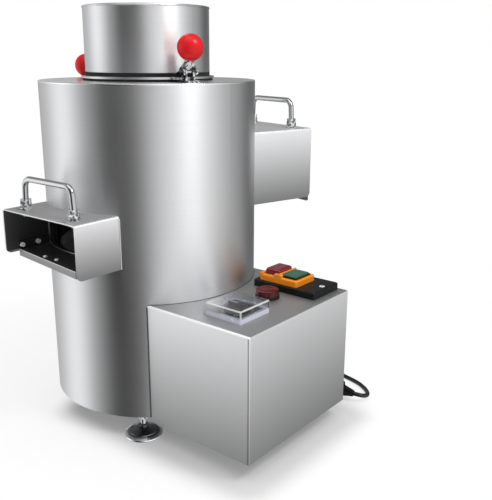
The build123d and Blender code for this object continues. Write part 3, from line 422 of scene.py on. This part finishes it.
def chute_shaded_hollows(chute):
    """The space under a hood and above its floor, and the thickness of the hood's top plate, both darkened
    as painted shade.
    """
    begin = 100.0
    skin = 0.1
    lip = 0.6
    depth = chute.reach - begin
    under_hood = (chute_half - sheet + skin, chute.floor - 2 * skin, chute.top - sheet + skin)
    top_plate = (chute_half - 5, chute.top - sheet, chute.top - skin)
    shaded_hollows = []
    for half, low, high in (under_hood, top_plate):
        centre = chute.frame @ (Vector((0, -begin - depth / 2, (low + high) / 2)) * mm)
        shaded_hollows.append((centre, Vector((half, depth / 2 - lip, (high - low) / 2)) * mm, chute.turn))
    return shaded_hollows


def shade_fade_down(node, least, top):
    """Painted shade over a node's height, with its least share and the painted share on flat tops."""
    low, high = corners(node)
    return low.z, high.z, least, top


pale_steel = (0.93, 0.935, 0.945)
white_steel = (0.99, 0.99, 1.0)
drum_steel = brushed_steel("drum_steel", rough=0.44, spread=0.8)
collar_steel = brushed_steel("collar_steel", rough=0.40, spread=0.8)
cover_steel = brushed_steel("cover_steel", rings=True, tone=pale_steel)
# The chutes' and the box's steel below carry painted shade down their panels and inside their hoods.
lower_chute_steel = brushed_steel("lower_chute_steel", shade_fade_down("lower_chute_hood", 0.34, 0.60), rough=0.6,
                                  tone=white_steel, shaded_hollows=chute_shaded_hollows(lower_chute))
upper_chute_steel = brushed_steel("upper_chute_steel", shade_fade_down("upper_chute_hood", 0.27, 1.0), rough=0.5,
                                  tone=pale_steel, shaded_hollows=chute_shaded_hollows(upper_chute))
box_steel = brushed_steel("box_steel", shade_fade_down("control_box", 0.40, 0.54), rough=0.5, tone=pale_steel)
sheet_steel = plain_steel("sheet_steel")
turned_steel = plain_steel("turned_steel", (0.66, 0.66, 0.67), rough=0.24)
bright_chrome = chrome("bright_chrome", waves=0.02, level=0.55)
# The dark patches of cast_chrome and nut_chrome are painted reflection.
cast_chrome = chrome("cast_chrome", waves=0.3, level=0.6, dark_reflection_share=0.8)
nut_chrome = chrome("nut_chrome", waves=0.3, level=0.75, dark_reflection_share=0.8, metal=0.7)
# foot_chrome is darker above its lower edge, a painted reflection.
foot_chrome = chrome("foot_chrome", waves=0.03, level=0.95, painted_dark_above=4.5 * mm)
red_phenolic = moulded("red_phenolic", colour(204, 12, 22), grain_depth=0.01, gleam=0.3)
seal_rubber = rubber("seal_rubber", grey(0.005), rough=0.7)
liner_rubber = rubber("liner_rubber", grey(0.02), rough=0.6)
cord_sheath = moulded("cord_sheath", grey(0.012), rough=0.38)
black_moulding = moulded("black_moulding", grey(0.006), rough=0.45, grain_depth=0.04, gleam=0.25)
switch_orange = moulded("switch_orange", colour(238, 140, 20), rough=0.30, shine=0.2)
stop_plastic = moulded("stop_plastic", colour(112, 10, 30), rough=0.16, grain_depth=0.01, shine=0.4)
start_plastic = moulded("start_plastic", colour(24, 86, 56), rough=0.18, grain_depth=0.01, shine=0.5)
timer_grey = moulded("timer_grey", grey(0.035), rough=0.4)
clear_lid = clear_plastic("clear_lid", colour(246, 248, 252), through=1.0, node="timer_lid")
frosted_frame = clear_plastic("frosted_frame", colour(230, 231, 246), through=0.2, frost=0.2)
lamp_red = lamp_glass()
cast_metal = plain_steel("cast_metal", (0.52, 0.53, 0.54), rough=0.5)
core_steel = laminated()
motor_enamel = painted("motor_enamel", colour(70, 74, 78))
brass = plain_steel("brass", (0.74, 0.56, 0.27), rough=0.28)
weld_bead = plain_steel("weld_bead", (0.80, 0.80, 0.80), rough=0.34)
# A weld coloured dark as painted shade of the gap where the box meets the drum.
shade_dark_weld = plain_steel("shade_dark_weld", (0.16, 0.16, 0.17), rough=0.45)
zinc = plain_steel("zinc", (1.0, 1.0, 1.0), rough=0.42, metal=0.15)
white_plastic = moulded("white_plastic", grey(0.75), rough=0.4)

node_finishes = {
    drum_steel: "drum_shell",
    collar_steel: "hopper_collar",
    cover_steel: "top_cover",
    lower_chute_steel: "lower_chute_hood lower_chute_floor",
    upper_chute_steel: "upper_chute_hood upper_chute_floor",
    box_steel: "control_box",
    sheet_steel: "base_plate chamber_floor control_box_floor floor_bolts box_screws",
    zinc: "chute_nuts",
    turned_steel: "motor_shaft motor_bearings",
    bright_chrome: "clamp_pins lower_handle upper_handle foot_stems",
    cast_chrome: "clamp_bases right_clamp_lever left_clamp_lever foot_nuts disc_nut",
    foot_chrome: "foot_pads",
    nut_chrome: "handle_nuts",
    red_phenolic: "right_ball_knob left_ball_knob",
    seal_rubber: "hopper_gasket hopper_seal shaft_seal",
    liner_rubber: "peeling_liner",
    black_moulding: "lamp_housing switch_base contact_block motor_fan cable_gland plug_body",
    switch_orange: "switch_housing",
    stop_plastic: "stop_button",
    start_plastic: "start_button",
    timer_grey: "timer_body timer_knob",
    clear_lid: "timer_lid",
    frosted_frame: "timer_frame",
    lamp_red: "lamp_lens",
    cast_metal: "peeling_disc motor_top_shield motor_housing motor_bottom_shield capacitor",
    core_steel: "motor_stator motor_rotor",
    motor_enamel: "fan_cover",
    brass: "plug_pins",
    cord_sheath: "cord_lead cord_coil cord_tail",
}
for finish, names in node_finishes.items():
    for name in names.split():
        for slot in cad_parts[name].material_slots:
            slot.material = finish


# Making pieces

def turned(outline, steps):
    """A shape spun round Z in so many steps, from (radius, height) points in millimetres."""
    solid = bmesh.new()
    points = [solid.verts.new((r * mm, 0, z * mm)) for r, z in outline]
    lines = [solid.edges.new(pair) for pair in zip(points, points[1:])]
    bmesh.ops.spin(solid, geom=points + lines, cent=(0, 0, 0), axis=(0, 0, 1), angle=2 * math.pi,
                   steps=steps, use_merge=True)
    bmesh.ops.remove_doubles(solid, verts=solid.verts, dist=0.001 * mm)
    return solid


def block(x_span, y_span, z_span, bevel, segments=2):
    """A block between limits in millimetres, its edges rounded."""
    solid = bmesh.new()
    bmesh.ops.create_cube(solid, size=1)
    limits = (x_span, y_span, z_span)
    size = Vector([(high - low) * mm for low, high in limits])
    centre = Vector([(low + high) / 2 * mm for low, high in limits])
    bmesh.ops.scale(solid, vec=size, verts=solid.verts)
    bmesh.ops.translate(solid, vec=centre, verts=solid.verts)
    bmesh.ops.bevel(solid, geom=solid.edges, offset=bevel * mm, affect="EDGES", segments=segments,
                    profile=0.5, material=-1)
    return solid


class Piece:
    """A piece in the making; solids are taken in one by one."""

    def __init__(self):
        self.shape = bmesh.new()

    def take(self, solid, place):
        """Adds a solid at its place, with its faces turned outwards."""
        bmesh.ops.recalc_face_normals(solid, faces=solid.faces)
        bmesh.ops.transform(solid, matrix=place, verts=solid.verts)
        scratch = bpy.data.meshes.new("scratch")
        solid.to_mesh(scratch)
        solid.free()
        self.shape.from_mesh(scratch)
        bpy.data.meshes.remove(scratch)

    def done(self, name, finish, body="frame", sharp=35, stands_for=()):
        """Makes the object, which rides on a body; sharp is the least angle of a hard edge."""
        mesh = bpy.data.meshes.new(name)
        self.shape.to_mesh(mesh)
        self.shape.free()
        mesh.materials.append(finish)
        mesh.shade_smooth()
        mesh.set_sharp_from_angle(angle=math.radians(sharp))
        piece = bpy.data.objects.new(name, mesh)
        bpy.context.scene.collection.objects.link(piece)
        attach(piece, body)
        if stands_for:
            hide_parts(*stands_for)
        return piece


# Mains lead

cord_radius = 3.25
cord_rest = 3.4
gland_exit = (205.0, 139.5, 42.0)
lead_points = [(205.0, 158.0, 42.0), (196.5, 175.5, 38.0), (179.5, 186.0, 26.5), (159.1, 187.5, 12.0)]
tail_points = [
    (94.5, 241.1, 7.0), (120.4, 239.3, 3.6), (149.8, 233.0, 3.4), (180.8, 225.3, 3.4), (212.0, 219.5, 3.4),
    (238.0, 213.0, 3.4), (255.0, 204.0, 3.4), (268.5, 192.0, 3.8), (275.5, 177.0, 7.0), (273.5, 163.0, 11.5)]
plug_tip = (261.0, 160.0, 12.5)
coil_centre = (90.0, 186.0)
coil_outer = 43.0
coil_pitch = 8.0
coil_rise = 7.3
coil_start = -40.0
quarters_in = 10
quarters_climbing = 2
points_per_quarter = 4
end_run = 6.5
last_run = 19.5


def coil_point(step, swell=1.0):
    """A point of the coil after a number of quarter turns, clockwise from above."""
    last = 2 * quarters_in + quarters_climbing
    turn = math.radians(coil_start - 90 * step)
    radius = (coil_outer - coil_pitch / 4 * min(step, quarters_in, last - step)) * swell
    climbed = min(max(step - quarters_in, 0), quarters_climbing) / quarters_climbing
    return Vector((coil_centre[0] + radius * math.cos(turn), coil_centre[1] + radius * math.sin(turn),
                   cord_rest + coil_rise * climbed))


def cord_route():
    """The lead's points, from the gland through the coil to the plug."""
    steps = (2 * quarters_in + quarters_climbing) * points_per_quarter
    swell = 1 / math.cos(math.radians(45 / points_per_quarter))
    first, last = coil_point(0), coil_point(steps / points_per_quarter)
    turn_in = math.radians(coil_start)
    heading_in = Vector((math.sin(turn_in), -math.cos(turn_in), 0))
    turn_out = math.radians(coil_start - 90 * steps / points_per_quarter)
    heading_out = Vector((math.sin(turn_out), -math.cos(turn_out), 0))
    begin = first - heading_in * end_run
    finish = last + heading_out * end_run
    turns = [coil_point(k / points_per_quarter, swell) for k in range(1, steps)]
    route = [gland_exit] + lead_points + [begin - heading_in * last_run, begin, first] + turns
    return route + [last, finish, finish + heading_out * last_run] + tail_points + [plug_tip]


def power_cord(plug_pieces):
    """The lead itself, one smooth curve through its route."""
    curve = bpy.data.curves.new("power_cord", "CURVE")
    curve.dimensions = "3D"
    curve.bevel_depth = cord_radius * mm
    curve.bevel_resolution = 5
    curve.use_fill_caps = True
    curve.resolution_u = 6
    spline = curve.splines.new("NURBS")
    route = cord_route()
    spline.points.add(len(route) - 1)
    for point, place in zip(spline.points, route):
        point.co = (*here(*place), 1)
    spline.order_u = 3
    spline.use_endpoint_u = True
    curve.materials.append(cord_sheath)
    cord = bpy.data.objects.new("power_cord", curve)
    bpy.context.scene.collection.objects.link(cord)
    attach(cord, "frame")
    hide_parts("cord_lead", "cord_coil", "cord_tail")


def cord_relief():
    """Gland with a hexagonal nut inside the wall and a ribbed, tapering nose."""
    wall = spans("control_box")[1][1]
    inside = spans("cable_gland")[1][0] - wall
    length = gland_exit[1] - wall
    nut_radius, nut_end = 10.5, -1.6
    neck_radius = 7.9
    ribs = 7
    rib_start = 8.0
    rib_depth = 1.0
    first_rib, taper = 7.8, 3.0
    pitch = (length - rib_start) / ribs
    out = shifted(here(gland_exit[0], wall, gland_exit[2]), -90, "X")
    outline = [(0, 0), (10.8, 0), (11.2, 0.6), (11.2, 5.2), (10.2, 6.2), (8.2, 6.4), (8.0, rib_start)]
    for k in range(ribs):
        radius = first_rib - taper * k / ribs
        z = rib_start + pitch * k
        outline += [(radius, z + 0.2), (radius, z + pitch * 0.55), (radius - rib_depth, z + pitch * 0.65),
                    (radius - rib_depth, z + pitch)]
    outline += [(4.6, length), (0, length)]
    relief = Piece()
    relief.take(turned(outline, 36), out)
    relief.take(turned([(0, inside), (nut_radius, inside), (nut_radius, nut_end), (0, nut_end)], 6), out)
    relief.take(turned([(0, inside), (neck_radius, inside), (neck_radius, 0), (0, 0)], 24), out)
    relief.done("cord_relief", black_moulding, sharp=30, stands_for=["cable_gland"])


def plug_moulding():
    """Moulded plug: rounded body with finger grips each side, and a ribbed neck."""
    centre = middle("plug_body")
    start = spans("plug_body")[0][0]
    y = (centre.y - axis.y) / mm
    z = (centre.z - axis.z) / mm
    body_length = 38.0
    body_end = start + body_length
    half_y, half_z = 13.5, 12.5

    def waist(x):
        """The body's share of its full width, which narrows past a third of its length."""
        return 1 - 0.16 * max((x - start) / (body_end - start) - 0.35, 0) / 0.65

    plug = Piece()
    body = block((start, body_end), (y - half_y, y + half_y), (z - half_z, z + half_z), 4.5, 4)
    for vert in body.verts:
        x = vert.co.x / mm
        flatter = 1 - 0.10 * (x - start) / (body_end - start)
        vert.co.y = (y + (vert.co.y / mm - y) * waist(x)) * mm
        vert.co.z = (z + (vert.co.z / mm - z) * flatter) * mm
    plug.take(body, home)
    grips, grip_pitch = 6, 4
    for side in (-1, 1):
        for k in range(grips):
            x = start + 9 + grip_pitch * k
            edge = y + side * half_y * waist(x)
            grip = block((x - 0.8, x + 0.8), sorted((edge - side * 1.5, edge)), (z - 7, z + 7), 0.5, 2)
            plug.take(grip, home)
    ribs = 6
    neck = 20.0
    rib_start = 1.5
    outline = [(0, -3), (9.4, -3), (9.4, 1)]
    for k in range(ribs):
        share = k / ribs
        radius = 8.6 - 3.9 * share
        at = rib_start + (neck - rib_start) * share
        outline += [(radius, at), (radius, at + 1.7), (radius - 0.9, at + 2.0), (radius - 0.9, at + 3.0)]
    outline += [(4.2, neck), (0, neck)]
    plug.take(turned(outline, 32), shifted(here(body_end, y, z), 90, "Y"))
    return plug.done("plug_moulding", black_moulding, sharp=30, stands_for=["plug_body"])


cord_relief()
power_cord([plug_moulding(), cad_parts["plug_pins"]])


# Welds

def bead(length, radius=1.0):
    """A straight weld bead along Z with its ripples."""
    ripple_pitch = 2.2
    ripples = max(int(length / ripple_pitch), 2)
    outline = [(0, 0)]
    for k in range(ripples):
        start = length * k / ripples
        outline += [(radius * 0.86, start + 0.1), (radius, start + length / ripples * 0.6)]
    return turned(outline + [(0, length)], 10)


def arc_bead(radius, first, last, height, thickness):
    """A weld bead that follows the drum between two angles."""
    solid = bmesh.new()
    start = shifted(Vector((radius, 0, height)) * mm, 90, "X")
    ring = bmesh.ops.create_circle(solid, cap_ends=True, segments=10, radius=thickness * mm,
                                   matrix=Matrix.Rotation(math.radians(first), 4, "Z") @ start)
    bmesh.ops.spin(solid, geom=ring["verts"] + list(solid.edges) + list(solid.faces), cent=(0, 0, 0),
                   axis=(0, 0, 1), angle=math.radians(last - first), steps=24)
    return solid


def drum_depth(across):
    """How far the drum's wall stands from the axis, at a distance to one side."""
    return math.sqrt(drum_radius ** 2 - across ** 2)


def chute_welds(name, chute, outer_low):
    """Beads that join a hood and its floor to the drum; outer_low is where each side's bead begins."""
    inner = chute_half - sheet - 0.3
    below_bend = chute.top - 3.5
    welds = Piece()
    for side, low in zip((-1, 1), outer_low):
        outside = Vector((side * chute_half, -drum_depth(chute_half), low)) * mm
        welds.take(bead(below_bend - low), chute.frame @ Matrix.Translation(outside))
        inside = Vector((side * inner, -drum_depth(inner), chute.floor)) * mm
        welds.take(bead(chute.top - sheet - chute.floor, 0.8), chute.frame @ Matrix.Translation(inside))
    reach = math.degrees(math.asin((chute_half - sheet) / drum_radius))
    on_floor = (chute.floor + 0.2, 0.8)
    under_top = (chute.top - sheet - 0.2, 0.8)
    over_top = (chute.top + 0.1, 0.5)
    for height, thickness in (on_floor, under_top, over_top):
        arc = arc_bead(drum_radius + 0.1, -90 - reach, -90 + reach, height, thickness)
        welds.take(arc, chute.frame)
    welds.done(name, weld_bead, sharp=60)


def drum_seam():
    """The drum's own seam: a weld that was ground nearly flat."""
    seam_angle = 128
    seam_half = 1.8
    seam_rise = 0.25
    low, high = spans("drum_shell")[2]
    depth = (drum_radius - 1, drum_radius + seam_rise)
    seam = Piece()
    seam.take(block(depth, (-seam_half, seam_half), (low + 1, high - 1), 0.2), shifted(axis, seam_angle))
    seam.done("drum_seam", weld_bead)


def box_weld():
    """The bead along the drum on top of the control box and down its two sides, coloured dark as painted
    shade of the gap at the joint.
    """
    box_half, box_top = (span[1] for span in spans("control_box")[1:])
    wall_low = spans("drum_shell")[2][0]
    reach = math.degrees(math.asin((box_half - 1) / drum_radius))
    weld = Piece()
    weld.take(arc_bead(drum_radius + 0.1, -reach, reach, box_top + 0.1, 0.7), home)
    for side in (-1, 1):
        foot = here(drum_depth(box_half) + 0.4, side * (box_half + 0.2), wall_low + 1)
        weld.take(bead(box_top - 3 - wall_low), shifted(foot))
    weld.done("box_weld", shade_dark_weld, sharp=60)


chute_welds("lower_chute_welds", lower_chute, outer_low=(254.0, 244.0))
chute_welds("upper_chute_welds", upper_chute, outer_low=(295.0, 295.0))
drum_seam()
box_weld()


# Control panel

def switch_divider():
    """The raised rib between the two buttons, wider at the front, and the housing's raised left edge."""
    housing_x, housing_y, housing_z = spans("switch_housing")
    stop_x, stop_y = spans("stop_button")[:2]
    start_x = spans("start_button")[0]
    gap = 0.6
    inset = 0.3
    nub_half = 6.2
    front = housing_y[0] + inset
    rib_height = (housing_z[1] - 1.5, housing_z[1] + 4.2)
    edge_height = (rib_height[0], rib_height[1] - 2.2)
    between = (stop_x[1] + start_x[0]) / 2
    rib = block((stop_x[1] + gap, start_x[0] - gap), (front, housing_y[1] - 1), rib_height, 0.8, 3)
    nub = block((between - nub_half, between + nub_half), (front, stop_y[0] - gap), rib_height, 1.0, 3)
    edge = block((housing_x[0] + inset, stop_x[0] - gap), (front, housing_y[1] - inset), edge_height, 0.9, 3)
    divider = Piece()
    for solid in (rib, nub, edge):
        divider.take(solid, home)
    divider.done("switch_divider", switch_orange, sharp=50)


def start_bezel():
    """The thin black bezel round the start button."""
    button_x, button_y = spans("start_button")[:2]
    top = spans("switch_housing")[2][1]
    gap, wall, rise = 0.2, 0.8, 2.2
    height = (top - 1, top + rise)
    inner_x = (button_x[0] - gap, button_x[1] + gap)
    inner_y = (button_y[0] - gap, button_y[1] + gap)
    outer_y = (inner_y[0] - wall, inner_y[1] + wall)
    bezel = Piece()
    for x_span in ((inner_x[0] - wall, inner_x[0]), (inner_x[1], inner_x[1] + wall)):
        bezel.take(block(x_span, outer_y, height, 0.2), home)
    for y_span in ((outer_y[0], inner_y[0]), (inner_y[1], outer_y[1])):
        bezel.take(block(inner_x, y_span, height, 0.2), home)
    bezel.done("start_bezel", black_moulding)


def switch_screw_cap():
    """Square white cap over the base's fixing screw, with a dark slot."""
    base_top = spans("switch_base")[2][1]
    x, y = 251.0, 75.0
    half = 3.1
    cap_height = (base_top - 1, base_top + 0.9)
    slot_height = (base_top, base_top + 1.1)
    cap = Piece()
    cap.take(block((x - half, x + half), (y - half, y + half), cap_height, 0.5, 3), home)
    cap.done("switch_screw_cap", white_plastic)
    slot = Piece()
    slot.take(block((x - 1.1, x + 1.1), (y - 1.4, y + 1.4), slot_height, 0.1, 1), home)
    slot.done("switch_cap_slot", black_moulding)


def timer_marks():
    """Minute marks round the knob, and the pointer on the knob's grip."""
    face = spans("timer_body")[2][1]
    knob_x, knob_y, knob_z = spans("timer_knob")
    x = (knob_x[0] + knob_x[1]) / 2
    y = (knob_y[0] + knob_y[1]) / 2
    first_angle, pitch, count = -60, 10, 31
    inner = 17.4
    long_tick = (20.4, 0.35)
    short_tick = (19.0, 0.2)
    marks = Piece()
    for k in range(count):
        outer, half = short_tick if k % 5 else long_tick
        tick = block((inner, outer), (-half, half), (-0.1, 0.2), 0.05, 1)
        marks.take(tick, shifted(here(x, y, face), first_angle + pitch * k))
    marks.done("timer_marks", white_plastic)
    line = block((knob_x[0] + 3.5, x + 1), (y - 0.8, y + 0.8), (knob_z[1] - 0.2, knob_z[1] + 0.3), 0.2)
    pointer = Piece()
    pointer.take(line, home)
    pointer.done("timer_pointer", white_plastic, body="timer_dial")


switch_divider()
start_bezel()
switch_screw_cap()
timer_marks()


# Studio

def studio_world():
    """Pale panels to the left and the right of the machine, dark between and behind them.

    A panel is a direction in degrees and its brightness there."""
    world = bpy.data.worlds.new("studio")
    bpy.context.scene.world = world
    f = Finish(world)
    direction = f.node("TexCoord", out=0)
    turn = f.along("Y", direction).math("ARCTAN2", f.along("X", direction)) / (2 * math.pi) + 0.5
    panels = [(-180, 0.62), (-143, 1.36), (-108, 0.36), (-90, 0.0), (-66, 0.06), (-28, 0.98), (0, 1.16),
              (22, 0.98), (52, 0.52), (90, 0.12), (116, 0.22), (150, 0.52), (180, 0.62)]
    stops = [((angle + 180) / 360, level) for angle, level in panels]
    around = f.node("ValToRGB", {"stops": stops}, {0: turn})
    height = f.along("Z", direction)
    overhead = height.between(0.25, 0.50)
    below = 1 - height.between(-0.85, -0.60)
    seen = f.mix(overhead, around, f.mix(0.7, around, grey(0.18)))
    seen = f.mix(below, seen, grey(0.10))
    path = f.node("LightPath")
    glossy = Signal(f, path.output.node.outputs["Is Glossy Ray"])
    camera = Signal(f, path.output.node.outputs["Is Camera Ray"])
    through = Signal(f, path.output.node.outputs["Is Transmission Ray"])
    lit = f.mix(glossy, grey(0.80), seen)
    shown = f.mix(camera.math("MAXIMUM", through), lit, grey(1.0))
    background = f.node("Background", values={"Color": shown, "Strength": 1.0})
    f.node("OutputWorld", values={0: background})


def studio_floor():
    """Pale floor with a painted shadow, grey under and beside the machine, that fades into white and keeps
    the cast shadow.
    """
    floor_radius = 6.0
    # Where the painted shadow lies and how far it spreads.
    painted_shadow_centre = here(120, 0)
    painted_shadow_half = (152 * mm, 111.5 * mm, 1.0)
    painted_shadow_start, painted_shadow_end = 12 * mm, 66 * mm
    fade_start, fade_end = 0.32, 0.75
    f = new_finish("studio_floor")
    fading = f.from_axis().between(fade_start, fade_end)
    apart = f.vector_math("ABSOLUTE", f.offset(painted_shadow_centre))
    outside = f.vector_math("MAXIMUM", f.vector_math("SUBTRACT", apart, painted_shadow_half), (0.0, 0.0, 0.0))
    painted_shadow = 1 - f.vector_math("LENGTH", outside, out=1).between(painted_shadow_start, painted_shadow_end)
    pale = f.mix(f.noise(40, 2), grey(0.90), grey(0.94))
    # Painted shadow: the floor's colour turns grey under and beside the machine.
    paint = f.node("BsdfDiffuse", values={"Color": f.mix(painted_shadow, pale, grey(0.62))})
    white = f.node("Emission", values={"Color": grey(1.0), "Strength": 1.0})
    camera_ray = f.node("LightPath")
    share = painted_shadow * 0.15 + (1 - painted_shadow) * (0.7 + fading * 0.3)
    shown = f.node("MixShader", values={0: share * camera_ray, 1: paint, 2: white})
    f.node("OutputMaterial", values={0: shown})
    solid = bmesh.new()
    bmesh.ops.create_circle(solid, cap_ends=True, segments=64, radius=floor_radius)
    mesh = bpy.data.meshes.new("studio_floor")
    solid.to_mesh(mesh)
    solid.free()
    mesh.materials.append(f.owner)
    floor = bpy.data.objects.new("studio_floor", mesh)
    bpy.context.scene.collection.objects.link(floor)
    floor.visible_glossy = False


# The camera stands where the photograph was taken from
camera_place = here(740.7, -702.2, 513.3)
camera_turn = math.radians(38.75)
camera_dip = math.radians(15.68)
camera_roll = math.radians(0.2257)
forward = Vector((-math.sin(camera_turn) * math.cos(camera_dip),
                  math.cos(camera_turn) * math.cos(camera_dip), -math.sin(camera_dip)))
level_right = Vector((math.cos(camera_turn), math.sin(camera_turn), 0))
level_up = level_right.cross(forward)
rightward = level_right * math.cos(camera_roll) + level_up * math.sin(camera_roll)
camera_up = level_up * math.cos(camera_roll) - level_right * math.sin(camera_roll)


def photo_camera():
    """The camera of the photograph: its lens and its place were fitted to the machine's edges."""
    lens = bpy.data.cameras.new("photo_camera")
    lens.sensor_fit = "AUTO"
    lens.sensor_width = 36
    lens.lens = 50.335
    lens.clip_start = 0.01
    lens.clip_end = 50
    camera = bpy.data.objects.new("photo_camera", lens)
    bpy.context.scene.collection.objects.link(camera)
    turn = Matrix((rightward, camera_up, -forward)).transposed().to_4x4()
    camera.matrix_world = Matrix.Translation(camera_place) @ turn
    bpy.context.scene.camera = camera


def soft_lamp(name, toward, distance, size, power):
    """A square softbox that faces the machine from a direction."""
    target = here(60, 0, 280)
    toward = toward.normalized()
    light = bpy.data.lights.new(name, "AREA")
    light.shape = "SQUARE"
    light.size = size
    light.energy = power
    lamp = bpy.data.objects.new(name, light)
    bpy.context.scene.collection.objects.link(lamp)
    lamp.location = target + toward * distance
    lamp.rotation_euler = toward.to_track_quat("Z", "Y").to_euler()


studio_world()
studio_floor()
photo_camera()
over_right_shoulder = rightward * 0.57 + camera_up * 0.63 - forward * 0.54
overhead = Vector((0.1, -0.2, 1.0))
soft_lamp("key_lamp", over_right_shoulder, distance=1.8, size=0.5, power=12)
soft_lamp("top_lamp", overhead, distance=1.9, size=1.6, power=10)
bpy.context.scene.view_settings.view_transform = "Standard"
